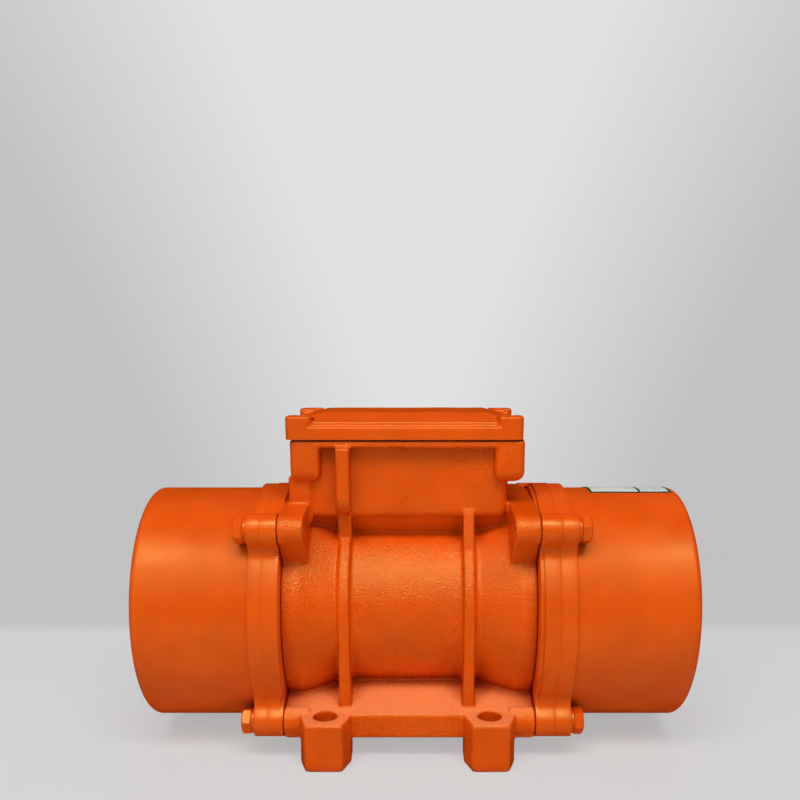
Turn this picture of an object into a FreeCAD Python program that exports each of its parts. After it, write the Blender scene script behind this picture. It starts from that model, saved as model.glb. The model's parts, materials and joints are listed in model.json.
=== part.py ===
"""Foot-mounted vibration motor: a cast casing with a terminal box, two bearing
flanges, a rotor with four eccentric weights, and two round weight covers.

Frame: millimetres, +Z up. The origin is on the mounting plane, at the centre of the
four foot holes. The shaft runs along X, and the front is towards -Y.
"""
import FreeCAD, Part
import math
import os
from collections import namedtuple
from FreeCAD import Vector

# ---------------------------------------------------------------- driving sizes
# Mounting
foot_pitch_x = 90.0          # foot holes, along the shaft
foot_pitch_y = 125.0         # foot holes, across the shaft
foot_hole_r = 6.5            # clearance for M12 bolts
shaft_height = 75.0          # mounting plane to shaft axis
foot_back_width = 27.6
foot_front_width = 20.0
foot_reach = 13.0            # hole centre to the foot's front face
foot_inner_reach = 12.5      # hole centre to the foot's inner end
foot_taper_start = 1.5       # hole centre to where the sides start to slope

# Base slab
slab_top = 26.8
slab_thickness = 14.2
slab_half_depth = 60.5
slab_edge_r = 1.5

# Barrel
barrel_r = 49.0              # outside, between the ring ribs
shoulder_r = 50.5            # outside the ring ribs
barrel_end_r = 59.0
flare_length = 21.0
flare_land = 9.0             # straight stretch at each end
barrel_wall = 4.5            # between the ring ribs
register_r = 52.5            # bored seat for the bearing flanges
register_depth = 14.0
slab_slope = 16.0            # the slab rises towards the barrel, degrees
slab_slope_inset = 3.0       # level strip along the slab's edge

# Ring ribs
rib_pitch = 69.0
rib_shift = -0.5             # the pair of ribs sits a little to the left
rib_r = 53.5
rib_width = 6.2
rib_root_r = 1.6
rib_tip_r = 0.9
rib_web_angle = 46.0         # where the web to the box wall leaves the right rib, degrees

# Casing ends and the flanges bolted to them
left_casing_end = 68.5
right_casing_end = 70.5
left_joint_gap = 1.6
right_joint_gap = 2.2
left_flange_thickness = 7.2
right_flange_thickness = 8.6
left_cover_flange = 7.2
right_cover_flange = 8.7
left_cover_length = 63.3
right_cover_length = 66.5
flange_r = 70.0
ear_r = 8.6
ear_blend_r = 7.0
bolt_y = 54.7                # bolt centres from the shaft, across
bolt_z = 54.2                # bolt centres from the shaft, up and down
boss_r = 8.0
boss_length = 13.8
shoulder_top_r = 66.8        # crown of the casing ends between the upper bosses
boss_web_angle = 36.0        # where the web under an upper boss meets the barrel, degrees
joint_land_r = 68.8

# Weight covers
cover_r = 67.6
cover_wall = 3.0
cover_edge_r = 3.6
spigot_length = 5.0
spigot_wall = 6.5
seal_r = 1.2                 # O-ring section

# Cover bolts, M8
bolt_r = 4.0
bolt_head_flats = 13.0
bolt_head_height = 5.3
bolt_grip = 13.0             # thread length in the casing
bolt_hole_r = 4.4
washer_r = 6.8
washer_thickness = 1.9

# Terminal box
box_half_width = 63.8
box_half_depth = 37.0
box_top = 174.2
rim_thickness = 3.6
pillar_width = 16.2
pillar_depth = 15.0
pillar_height = 22.5
pillar_edge_r = 3.0
pillar_foot_r = 6.0
wall_half_width = 55.5
wall_half_depth = 31.0
wall_bottom = 131.5
wall_thickness = 4.5
wall_corner_r = 4.0
floor_thickness = 5.0
neck_top_half_depth = 27.0
neck_bottom_half_depth = 18.0
saddle_outer_x = 65.6        # block between the box and the left casing end
saddle_inner_x = 53.0
saddle_half_depth = 33.0
saddle_top = 154.0
lug_width = 7.4
lug_front = 41.5             # stiffening lug on the left rib, up to the rim
lug_bottom = 143.0
lug_corner_r = 9.0
lead_hole_x = 39.0
lead_hole_r = 6.0

# Lid
lid_half_width = 64.2
lid_half_depth = 38.0
lid_shift = -1.55            # the lid sits a little to the left of the box
gasket_thickness = 0.7
gasket_inset = 0.8
gasket_width = 6.0
lid_band = 7.1
lid_step = 2.6
lid_step_inset = 2.2
lid_panel_inset = 4.6
lid_panel_rise = 4.0
lid_panel_slope = 14.0       # width of the slopes round the flat top
lid_boss_size = 14.0
lid_boss_height = 12.5
lid_corner_r = 3.0
lid_edge_r = 1.0
lid_wall = 3.0
lid_screw_r = 2.5
lid_screw_head_r = 4.25
lid_screw_head_height = 5.0
lid_screw_depth = 12.0
lid_screw_recess = 5.6

# Terminal block and earth screw
block_length = 52.0
block_depth = 30.0
block_height = 12.0
block_x = -9.0
stud_pitch = 14.0
stud_r = 2.5
stud_height = 12.0
nut_flats = 8.0
nut_height = 4.0
link_width = 7.0
link_thickness = 1.0
block_screw_r = 2.0
earth_x = 24.0
earth_y = -17.0

# Cable gland, M20
gland_x = 18.0
gland_z = 154.5
gland_r = 10.0
gland_boss_r = 15.0
gland_flats = 24.0
gland_collar = 5.0
gland_neck = 9.0
gland_nut_length = 15.0
gland_bore_r = 7.0
seal_bore_r = 5.5

# Stator and rotor
core_length = 60.0
stator_in_r = 27.0
air_gap = 0.4
slot_count = 24
slot_depth = 10.5
slot_opening = 2.2
tooth_lip = 1.2
winding_overhang = 16.0
rotor_bars = 22
bar_depth = 6.0
bar_width = 3.0
bar_cover = 0.8
end_ring_width = 6.0

# Shaft
core_seat_r = 15.0
journal_r = 12.5
weight_seat_r = 11.0
thread_r = 10.0
shaft_half_length = 141.0
shaft_chamfer = 1.0

# Roller bearings, 25 x 62 x 24
bearing_start = 54.0         # inner face of the bearing, from the middle of the shaft
bearing_width = 24.0
bearing_r = 31.0
inner_race_r = 17.6
roller_r = 4.3
roller_count = 12
roller_length = 14.0
race_gap = 0.35
cage_ring = 2.2
cage_half_height = 1.6
cage_bar = 1.6
hub_wall = 7.0
hub_lip = 2.5
hub_cap_land = 1.0
cap_r = 43.0
cap_thickness = 4.0
cap_screw_circle = 36.5
cap_screw_r = 2.5
cap_screw_head_r = 4.25
cap_screw_head = 2.8
hub_rib_count = 6
hub_rib_width = 5.0

# Eccentric weights
weight_start = 89.0
weight_thickness = 19.0
weight_r = 58.0
weight_half_angle = 80.0
weight_corner_r = 4.0
weight_hub_r = 22.0
weight_gap = 0.4
clamp_lug_height = 27.0
clamp_lug_half_width = 15.0
clamp_slot = 2.0
clamp_bolt_r = 3.0
clamp_bolt_height = 20.0
clamp_spot_r = 6.4           # flat seats for the clamp bolt's head and nut
key_width = 6.0
key_height = 6.0
key_length = 15.0
disc_r = 24.0
disc_thickness = 2.4
disc_notches = 11
shaft_nut_r = 16.0
shaft_nut_length = 8.0

# Fits
press_gap = 0.04             # radial, between seated pieces of one body
running_gap = 0.06           # radial, between turning pieces that fit
thread_gap = 0.10            # radial, between a thread and its hole

# ---------------------------------------------------------------- derived places
Side = namedtuple("Side", "name sign casing_end flange_in flange_out cover_flange_out cover_end")


def make_side(name, sign, casing_end, gap, flange, cover_flange, cover_length):
    """Stations along the shaft at one end, measured outwards from the middle."""
    flange_in = casing_end + gap
    flange_out = flange_in + flange
    cover_flange_out = flange_out + cover_flange
    return Side(name, sign, casing_end, flange_in, flange_out, cover_flange_out,
                cover_flange_out + cover_length)


left = make_side("left", -1, left_casing_end, left_joint_gap, left_flange_thickness,
                 left_cover_flange, left_cover_length)
right = make_side("right", 1, right_casing_end, right_joint_gap, right_flange_thickness,
                  right_cover_flange, right_cover_length)
sides = (left, right)

slab_bottom = slab_top - slab_thickness
bore_r = barrel_r - barrel_wall
bearing_end = bearing_start + bearing_width
hub_face = bearing_end + hub_cap_land
rotor_r = stator_in_r - air_gap
weight_end = weight_start + weight_thickness
adjustable_start = weight_end + weight_gap
adjustable_end = adjustable_start + weight_thickness
disc_start = adjustable_end + weight_gap
disc_end = disc_start + disc_thickness
pitch_r = inner_race_r + race_gap + roller_r
outer_race_r = pitch_r + roller_r + race_gap
floor_top = wall_bottom + floor_thickness
lid_bottom = box_top + gasket_thickness
cover_in_r = cover_r - cover_wall
pillar_x = box_half_width - pillar_width / 2
pillar_y = box_half_depth - pillar_depth / 2
rib_places = (rib_shift - rib_pitch / 2, rib_shift + rib_pitch / 2)

X = Vector(1, 0, 0)
Y = Vector(0, 1, 0)
Z = Vector(0, 0, 1)
AXIS = Vector(0, 0, shaft_height)


# ---------------------------------------------------------------- shape helpers
def block(x0, x1, y0, y1, z0, z1):
    return Part.makeBox(x1 - x0, y1 - y0, z1 - z0, Vector(x0, y0, z0))


def cylinder_x(r, x0, x1, y=0.0, z=0.0):
    """Cylinder along X; y and z are measured from the shaft axis."""
    return Part.makeCylinder(r, x1 - x0, Vector(x0, y, shaft_height + z), X)


def cylinder_y(r, y0, y1, x, z):
    return Part.makeCylinder(r, y1 - y0, Vector(x, y0, z), Y)


def cylinder_z(r, z0, z1, x, y):
    return Part.makeCylinder(r, z1 - z0, Vector(x, y, z0), Z)


def ring_x(r_out, r_in, x0, x1):
    return cylinder_x(r_out, x0, x1).cut(cylinder_x(r_in, x0, x1))


def fuse(shapes):
    shapes = list(shapes)
    return shapes[0].multiFuse(shapes[1:]).removeSplitter()


def wire(start, *steps):
    """Closed wire: a step is a point, or a pair (point on the arc, end point)."""
    edges = []
    here = start
    for step in steps + (start,):
        if isinstance(step, tuple):
            edges.append(Part.Arc(here, step[0], step[1]).toShape())
            here = step[1]
        elif step.distanceToPoint(here) > 1e-7:
            edges.append(Part.LineSegment(here, step).toShape())
            here = step
    return Part.Wire(edges)


def turn_x(points):
    """Solid turned about the shaft; points and arcs are (x, radius)."""
    def place(p):
        return Vector(p[0], 0, shaft_height + p[1])
    steps = [tuple(place(q) for q in p) if isinstance(p[0], tuple) else place(p) for p in points]
    return Part.Face(wire(*steps)).revolve(AXIS, X, 360)


def prism_x(x0, x1, *steps):
    """Prism along X; points and arcs are (y, z) from the shaft axis."""
    def place(p):
        return Vector(x0, p[0], shaft_height + p[1])
    steps = [tuple(place(q) for q in p) if isinstance(p[0], tuple) else place(p) for p in steps]
    return Part.Face(wire(*steps)).extrude(X * (x1 - x0))


def hexagon(flats, height, centre, axis):
    """Hexagonal prism that stands on centre and rises along axis."""
    across = Z if abs(axis.z) < 0.5 else X
    corner = flats / math.sqrt(3)
    points = []
    for k in range(7):
        angle = math.radians(60 * k)
        side = axis.cross(across)
        points.append(centre + across * (corner * math.cos(angle)) + side * (corner * math.sin(angle)))
    return Part.Face(Part.makePolygon(points)).extrude(axis * height)


def edges_along(shape, direction, test):
    """Straight edges of a shape that run along a direction and whose middle passes a test."""
    found = []
    for edge in shape.Edges:
        if not isinstance(edge.Curve, (Part.Line, Part.LineSegment)):
            continue
        run = edge.Vertexes[-1].Point - edge.Vertexes[0].Point
        if abs(run.normalize().dot(direction)) > 0.999 and test(edge.CenterOfMass):
            found.append(edge)
    return found


def edges_level(shape, z):
    """Edges that lie wholly at one height."""
    return [e for e in shape.Edges if abs(e.BoundBox.ZMin - z) < 1e-5 and abs(e.BoundBox.ZMax - z) < 1e-5]


def rounded_block(x0, x1, y0, y1, z0, z1, corner_r, top_r=0.0, bottom_r=0.0):
    """Block with rounded upright corners and, where given, rounded top and bottom edges."""
    shape = block(x0, x1, y0, y1, z0, z1)
    shape = shape.makeFillet(corner_r, edges_along(shape, Z, lambda p: True))
    if top_r:
        shape = shape.makeFillet(top_r, edges_level(shape, z1))
    if bottom_r:
        shape = shape.makeFillet(bottom_r, edges_level(shape, z0))
    return shape


def corners(x, y):
    return [(sx * x, sy * y) for sx in (-1, 1) for sy in (-1, 1)]


def bolt_places():
    return [(sy * bolt_y, sz * bolt_z) for sy in (-1, 1) for sz in (-1, 1)]


def around(count, start=0.0):
    return [start + 360.0 * k / count for k in range(count)]


def turned(shape, degrees):
    copy = shape.copy()
    copy.rotate(AXIS, X, degrees)
    return copy


def to_side(shape, side):
    """Pieces are built at the right-hand end, and mirrored for the left."""
    return shape if side.sign > 0 else shape.mirror(Vector(0, 0, 0), X)


def screw(r, length, head_r, head_height, centre, axis):
    """Socket-head screw: centre is under the head, axis points out of the head."""
    shank = Part.makeCylinder(r, length, centre - axis * length, axis)
    head = Part.makeCylinder(head_r, head_height, centre, axis)
    socket = hexagon(head_r, head_height * 0.55, centre + axis * (head_height * 0.45), axis)
    return fuse([shank, head]).cut(socket)


# ---------------------------------------------------------------- casing
def ring_rib(x):
    """Ring rib with rounded roots, straight sides and rounded tips."""
    half = rib_width / 2
    k = 1 - math.sqrt(0.5)
    root = rib_root_r
    tip = rib_tip_r
    section = [
        (x - half - root, bore_r + 1),
        (x - half - root, barrel_r),
        ((x - half - root * k, barrel_r + root * k), (x - half, barrel_r + root)),
        (x - half, rib_r - tip),
        ((x - half + tip * k, rib_r - tip * k), (x - half + tip, rib_r)),
        (x + half - tip, rib_r),
        ((x + half - tip * k, rib_r - tip * k), (x + half, rib_r - tip)),
        (x + half, barrel_r + root),
        ((x + half + root * k, barrel_r + root * k), (x + half + root, barrel_r)),
        (x + half + root, bore_r + 1),
    ]
    return turn_x(section)


def barrel():
    """Outside of the barrel: a plain middle, two ring ribs, and a shoulder and flare at each end."""
    pieces = [cylinder_x(barrel_r, -left_casing_end, right_casing_end)]
    pieces += [ring_rib(x) for x in rib_places]
    for side, rib_x in zip(sides, rib_places):
        end = side.casing_end
        land = end - flare_land
        start = land - flare_length
        pieces.append(to_side(cylinder_x(shoulder_r, abs(rib_x), land), side))
        flare = turn_x([(start, 0.0), (start, shoulder_r), (land, barrel_end_r), (end, barrel_end_r), (end, 0.0)])
        pieces.append(to_side(flare, side))
    return fuse(pieces)


def rib_leg(x):
    """Straight lower part of a ring rib, from shaft height down onto the slab."""
    half = rib_width / 2
    leg = block(x - half, x + half, -rib_r, rib_r, slab_bottom + 1, shaft_height)
    outer = edges_along(leg, Z, lambda p: True)
    return leg.makeFillet(rib_tip_r, outer)


def slab_slopes():
    """Slopes that rise from the slab's long edges to the barrel; the bore is cut later."""
    start = slab_half_depth - slab_slope_inset
    low = slab_top - shaft_height
    high = low + start * math.tan(math.radians(slab_slope))
    return prism_x(-left_casing_end, right_casing_end, (-start, low - 1), (-start, low), (0.0, high),
                   (start, low), (start, low - 1))


def foot(x, y_sign):
    """One foot: straight sides at the back, then narrowing to a flat front."""
    back = foot_back_width / 2
    front = foot_front_width / 2
    y_hole = foot_pitch_y / 2
    outline = [
        (-back, y_hole - foot_inner_reach), (back, y_hole - foot_inner_reach),
        (back, y_hole + foot_taper_start), (front, y_hole + foot_reach),
        (-front, y_hole + foot_reach), (-back, y_hole + foot_taper_start),
    ]
    points = [Vector(px, py, 0) for px, py in outline]
    solid = Part.Face(wire(*points)).extrude(Z * slab_top)
    solid = solid.makeFillet(2.0, edges_along(solid, Z, lambda p: p.y > y_hole))
    solid = solid.makeFillet(slab_edge_r, edges_level(solid, slab_top))
    solid.translate(Vector(x, 0, 0))
    return solid if y_sign > 0 else solid.mirror(Vector(0, 0, 0), Y)


def tangent_points(r1, y2, z2, r2):
    """Upper common tangent of a circle on the shaft axis and one at (y2, z2)."""
    distance = math.hypot(y2, z2)
    angle = math.atan2(z2, y2) + math.acos((r1 - r2) / distance)
    direction = (math.cos(angle), math.sin(angle))
    return ((r1 * direction[0], r1 * direction[1]), (y2 + r2 * direction[0], z2 + r2 * direction[1]))


def casing_end(side):
    """Bosses for the cover bolts, with the crowned shoulder between the upper two."""
    x0 = side.casing_end - boss_length
    x1 = side.casing_end
    pieces = [cylinder_x(boss_r, x0, x1, y, z) for y, z in bolt_places()]
    on_crown, on_boss = tangent_points(shoulder_top_r, bolt_y, bolt_z, boss_r)
    low = math.radians(boss_web_angle)
    web_foot = (barrel_end_r * math.cos(low), barrel_end_r * math.sin(low))
    web = prism_x(x0, x1, (0.0, shoulder_top_r * 0.6), (0.0, shoulder_top_r), on_crown, on_boss,
                  (bolt_y, bolt_z), (bolt_y + boss_r * 0.3, bolt_z - boss_r * 0.9), web_foot,
                  (web_foot[0] * 0.8, web_foot[1] * 0.8))
    pieces += [web, web.mirror(AXIS, Y)]
    crown = cylinder_x(shoulder_top_r, x0, x1).common(
        block(x0, x1, -bolt_y * 0.6, bolt_y * 0.6, shaft_height + shoulder_top_r * 0.6, shaft_height + 90))
    low_web = block(x0, x1, -bolt_y, bolt_y, slab_bottom + 0.5, slab_top)
    return to_side(fuse(pieces + [crown, low_web]), side)


def pillar(x, y):
    """Corner pillar: rounded upright edges, and a foot that is rounded further."""
    sides_xy = (x - pillar_width / 2, x + pillar_width / 2, y - pillar_depth / 2, y + pillar_depth / 2)
    low = box_top - pillar_height
    high = box_top - rim_thickness / 2
    foot_shape = block(*sides_xy, low, high)
    foot_shape = foot_shape.makeFillet(pillar_foot_r, edges_level(foot_shape, low))
    return rounded_block(*sides_xy, low, high, pillar_edge_r).common(foot_shape)


def box_outside():
    """Terminal box: plain walls, four corner pillars with rounded feet, and a rim."""
    walls = rounded_block(-wall_half_width, wall_half_width, -wall_half_depth, wall_half_depth,
                          wall_bottom, box_top, wall_corner_r, bottom_r=wall_corner_r - 0.5)
    rim = rounded_block(-box_half_width, box_half_width, -box_half_depth, box_half_depth,
                        box_top - rim_thickness, box_top, pillar_edge_r)
    neck_z = shaft_height + math.sqrt(shoulder_r ** 2 - neck_bottom_half_depth ** 2) - 3
    neck = prism_x(-wall_half_width, wall_half_width,
                   (-neck_top_half_depth, wall_bottom + 1 - shaft_height),
                   (-neck_bottom_half_depth, neck_z - shaft_height),
                   (neck_bottom_half_depth, neck_z - shaft_height),
                   (neck_top_half_depth, wall_bottom + 1 - shaft_height))
    pieces = [walls, rim, neck] + [pillar(x, y) for x, y in corners(pillar_x, pillar_y)]
    saddle = rounded_block(-saddle_outer_x, -saddle_inner_x, -saddle_half_depth, saddle_half_depth,
                           shaft_height + shoulder_top_r * 0.8, saddle_top, 2.0)
    boss = cylinder_y(gland_boss_r, wall_half_depth - 1, box_half_depth, gland_x, gland_z)
    return fuse(pieces + [saddle, boss])


def rib_lug():
    """Lug that carries the left rib up the box wall to the rim, front and back."""
    half = lug_width / 2
    x = rib_places[0]
    k = lug_corner_r * (1 - math.sqrt(0.5))
    top = box_top - rim_thickness - shaft_height
    low = lug_bottom - shaft_height
    ring_y = rib_r * math.cos(math.radians(45))
    lug = prism_x(x - half, x + half, (-lug_front, top), (-lug_front, low),
                  ((-lug_front + k, low - lug_corner_r + k), (-lug_front + lug_corner_r, low - lug_corner_r)),
                  (-ring_y * 0.75, ring_y), (0.0, ring_y), (0.0, top))
    lug = lug.makeFillet(rib_tip_r, edges_along(lug, Z, lambda p: p.y < -lug_front + 0.1))
    return lug.fuse(lug.mirror(AXIS, Y))


def rib_web():
    """Web that joins the right rib to the lower edge of the box wall, front and back."""
    half = rib_width / 2
    x = rib_places[1]
    foot_y = rib_r * math.cos(math.radians(rib_web_angle))
    foot_z = rib_r * math.sin(math.radians(rib_web_angle))
    top = wall_bottom - shaft_height + wall_corner_r
    head_y = wall_half_depth + rib_tip_r
    web = prism_x(x - half, x + half, (-foot_y, foot_z), (-head_y, top), (0.0, top), (0.0, foot_z))
    return web.fuse(web.mirror(AXIS, Y))


def casing_cavities():
    """Bores, the box's inside, lead hole, bolt holes and screw holes."""
    cuts = [cylinder_x(bore_r, -left_casing_end - 1, right_casing_end + 1)]
    for side in sides:
        cuts.append(to_side(cylinder_x(register_r, side.casing_end - register_depth, side.casing_end + 1), side))
        for y, z in bolt_places():
            hole = cylinder_x(bolt_r + thread_gap, side.casing_end - boss_length - 1, side.casing_end + 1, y, z)
            cuts.append(to_side(hole, side))
    inside_x = wall_half_width - wall_thickness
    inside_y = wall_half_depth - wall_thickness
    cuts.append(rounded_block(-inside_x, inside_x, -inside_y, inside_y, floor_top, box_top + 1, wall_corner_r))
    cuts.append(cylinder_z(lead_hole_r, shaft_height + bore_r - 4, floor_top + 1, lead_hole_x, 0))
    for x, y in corners(foot_pitch_x / 2, foot_pitch_y / 2):
        cuts.append(cylinder_z(foot_hole_r, -1, slab_top + 1, x, y))
    for x, y in corners(pillar_x, pillar_y):
        cuts.append(cylinder_z(lid_screw_r + thread_gap, box_top - lid_screw_depth - 1, box_top + 1, x, y))
    cuts.append(cylinder_y(gland_r + thread_gap, inside_y - 1, box_half_depth + 1, gland_x, gland_z))
    for x in block_screw_places():
        cuts.append(cylinder_z(block_screw_r + thread_gap, floor_top - 4, floor_top + 1, x, 0))
    cuts.append(cylinder_z(block_screw_r + thread_gap, floor_top - 4, floor_top + 1, earth_x, earth_y))
    return cuts


def casing():
    slab = rounded_block(-left_casing_end, right_casing_end, -slab_half_depth, slab_half_depth,
                         slab_bottom, slab_top, 2.0, top_r=slab_edge_r, bottom_r=slab_edge_r)
    pieces = [barrel(), slab, box_outside(), rib_lug(), rib_web()]
    pieces += [rib_leg(x) for x in rib_places]
    pieces += [foot(x, y) for x, y in corners(foot_pitch_x / 2, 1)]
    pieces += [casing_end(side) for side in sides]
    pieces.append(slab_slopes())
    return fuse(pieces).cut(casing_cavities()).removeSplitter()


# ---------------------------------------------------------------- lid
def hipped_panel(half_x, half_y, bottom, eaves, top):
    """Panel with a flat top and four sloping sides that start at the eaves."""
    def outline(inset, z):
        hx = half_x - inset
        hy = half_y - inset
        points = [(-hx, -hy), (hx, -hy), (hx, hy), (-hx, hy), (-hx, -hy)]
        return Part.makePolygon([Vector(x, y, z) for x, y in points])
    slopes = Part.makeLoft([outline(0, eaves), outline(lid_panel_slope, top)], True, True)
    return block(-half_x, half_x, -half_y, half_y, bottom, eaves).fuse(slopes)


def lid():
    """Lid: a band, a step, a crowned panel, and four corner bosses for the screws."""
    hx = lid_half_width
    hy = lid_half_depth
    z0 = lid_bottom
    band = rounded_block(-hx, hx, -hy, hy, z0, z0 + lid_band, lid_corner_r, top_r=lid_edge_r)
    step_top = z0 + lid_band + lid_step
    sx = hx - lid_step_inset
    sy = hy - lid_step_inset
    step = rounded_block(-sx, sx, -sy, sy, z0 + 1, step_top, lid_corner_r, top_r=lid_edge_r)
    px = hx - lid_panel_inset
    py = hy - lid_panel_inset
    panel = hipped_panel(px, py, step_top - lid_step / 2, step_top, step_top + lid_panel_rise)
    pieces = [band, step, panel]
    boss_x = hx - lid_boss_size / 2
    boss_y = hy - lid_boss_size / 2
    half = lid_boss_size / 2
    for x, y in corners(boss_x, boss_y):
        pieces.append(rounded_block(x - half, x + half, y - half, y + half, z0,
                                    z0 + lid_boss_height, lid_corner_r, top_r=lid_edge_r))
    body = fuse(pieces)
    body.translate(X * lid_shift)
    inside_x = wall_half_width - wall_thickness
    inside_y = wall_half_depth - wall_thickness
    cuts = [rounded_block(-inside_x, inside_x, -inside_y, inside_y, z0 - 1, z0 + lid_band - lid_wall + lid_step,
                          wall_corner_r)]
    for x, y in corners(pillar_x, pillar_y):
        cuts.append(cylinder_z(lid_screw_r + 0.4, z0 - 1, z0 + lid_boss_height + 1, x, y))
        cuts.append(cylinder_z(lid_screw_head_r + 0.6, z0 + lid_boss_height - lid_screw_recess,
                               z0 + lid_boss_height + 3, x, y))
    return body.cut(cuts)


def lid_gasket():
    hx = box_half_width - gasket_inset
    hy = box_half_depth - gasket_inset
    sheet = rounded_block(-hx, hx, -hy, hy, box_top, lid_bottom, lid_corner_r)
    inside_x = wall_half_width - wall_thickness
    inside_y = wall_half_depth - wall_thickness
    cuts = [rounded_block(-inside_x, inside_x, -inside_y, inside_y, box_top - 1, lid_bottom + 1, wall_corner_r)]
    cuts += [cylinder_z(lid_screw_r + 0.4, box_top - 1, lid_bottom + 1, x, y)
             for x, y in corners(pillar_x, pillar_y)]
    return sheet.cut(cuts)


def lid_screws():
    seat = lid_bottom + lid_boss_height - lid_screw_recess
    length = seat - box_top + lid_screw_depth
    return [screw(lid_screw_r, length, lid_screw_head_r, lid_screw_head_height, Vector(x, y, seat), Z)
            for x, y in corners(pillar_x, pillar_y)]


# ---------------------------------------------------------------- terminal block
def block_screw_places():
    reach = block_length / 2 - 4.5
    return (block_x - reach, block_x + reach)


def stud_places():
    return [(block_x + kx * stud_pitch, ky * stud_pitch / 2) for kx in (-1, 0, 1) for ky in (-1, 1)]


def terminal_block():
    """Moulded block with a screw land at each end and a barrier between the terminals."""
    half = block_length / 2
    land = block_height * 0.4
    body = block(block_x - half + 9, block_x + half - 9, -block_depth / 2, block_depth / 2,
                 floor_top, floor_top + block_height)
    lands = block(block_x - half, block_x + half, -block_depth / 2 + 6, block_depth / 2 - 6,
                  floor_top, floor_top + land)
    pieces = [body, lands]
    for k in (-0.5, 0.5):
        x = block_x + k * stud_pitch
        pieces.append(block(x - 0.8, x + 0.8, -block_depth / 2, block_depth / 2,
                            floor_top + block_height - 1, floor_top + block_height + 3))
    cuts = [cylinder_z(block_screw_r + 0.3, floor_top - 1, floor_top + land + 1, x, 0)
            for x in block_screw_places()]
    cuts += [cylinder_z(stud_r, floor_top + 3, floor_top + block_height + 1, x, y) for x, y in stud_places()]
    return fuse(pieces).cut(cuts)


def terminal_studs():
    top = floor_top + block_height
    return [cylinder_z(stud_r - press_gap, floor_top + 3, top + stud_height, x, y) for x, y in stud_places()]


def terminal_links():
    """Three flat links, each joining the front and back stud of one phase."""
    z0 = floor_top + block_height
    links = []
    for kx in (-1, 0, 1):
        x = block_x + kx * stud_pitch
        reach = stud_pitch / 2 + link_width / 2
        strip = rounded_block(x - link_width / 2, x + link_width / 2, -reach, reach,
                              z0, z0 + link_thickness, link_width * 0.4)
        holes = [cylinder_z(stud_r + 0.2, z0 - 1, z0 + link_thickness + 1, x, sy * stud_pitch / 2)
                 for sy in (-1, 1)]
        links.append(strip.cut(holes))
    return links


def terminal_nuts():
    z0 = floor_top + block_height + link_thickness
    nuts = []
    for x, y in stud_places():
        nut = hexagon(nut_flats, nut_height, Vector(x, y, z0), Z)
        nuts.append(nut.cut(cylinder_z(stud_r, z0 - 1, z0 + nut_height + 1, x, y)))
    return nuts


def terminal_block_screws():
    seat = floor_top + block_height * 0.4
    return [screw(block_screw_r, block_height * 0.4 + 3.5, block_screw_r * 1.8, 2.6, Vector(x, 0, seat), Z)
            for x in block_screw_places()]


def earth_screw():
    return screw(block_screw_r, 3.5, block_screw_r * 2, 3.0, Vector(earth_x, earth_y, floor_top), Z)


# ---------------------------------------------------------------- cable gland
def gland_body():
    thread = cylinder_y(gland_r, wall_half_depth - wall_thickness, box_half_depth + 1, gland_x, gland_z)
    collar = hexagon(gland_flats, gland_collar, Vector(gland_x, box_half_depth, gland_z), Y)
    end = box_half_depth + gland_collar + gland_neck
    neck = cylinder_y(gland_r, box_half_depth + 1, end, gland_x, gland_z)
    bore = cylinder_y(gland_bore_r, 0, end + 1, gland_x, gland_z)
    seat = cylinder_y(gland_r - 1.4, end - 6, end + 1, gland_x, gland_z)
    return fuse([thread, collar, neck]).cut([bore, seat])


def gland_seal():
    end = box_half_depth + gland_collar + gland_neck
    ring = cylinder_y(gland_r - 1.4 - press_gap, end - 6, end + 2, gland_x, gland_z)
    return ring.cut(cylinder_y(seal_bore_r, end - 7, end + 3, gland_x, gland_z))


def gland_nut():
    """Dome nut that squeezes the seal onto the cable."""
    y0 = box_half_depth + gland_collar + 0.5
    y1 = y0 + gland_nut_length
    end = box_half_depth + gland_collar + gland_neck + 2
    nut = hexagon(gland_flats, gland_nut_length, Vector(gland_x, y0, gland_z), Y)
    dome = cylinder_y(gland_flats / 2 + 0.4, y0, y1, gland_x, gland_z)
    rim = [e for e in dome.Edges if abs(e.BoundBox.YMin - y1) < 1e-6 and abs(e.BoundBox.YMax - y1) < 1e-6]
    nut = nut.common(dome.makeFillet(3.0, rim))
    thread = cylinder_y(gland_r + thread_gap, y0 - 1, end, gland_x, gland_z)
    return nut.cut([thread, cylinder_y(gland_bore_r, y0, y1 + 1, gland_x, gland_z)])


# ---------------------------------------------------------------- flanges and covers
def eared_disc(radius, x0, x1):
    """Round plate with four bolt ears, blended into its rim."""
    pieces = [cylinder_x(radius, x0, x1)]
    for y, z in bolt_places():
        pieces.append(cylinder_x(ear_r, x0, x1, y, z))
        distance = math.hypot(y, z)
        side = (-z / distance * ear_r, y / distance * ear_r)
        pieces.append(prism_x(x0, x1, (side[0], side[1]), (y + side[0], z + side[1]),
                              (y - side[0], z - side[1]), (-side[0], -side[1])))
    plate = fuse(pieces)

    def on_rim(p):
        return abs(math.hypot(p.y, p.z - shaft_height) - radius) < 0.01
    return plate.makeFillet(ear_blend_r, edges_along(plate, X, on_rim))


def bolt_holes(x0, x1):
    return [cylinder_x(bolt_hole_r, x0 - 1, x1 + 1, y, z) for y, z in bolt_places()]


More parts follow.
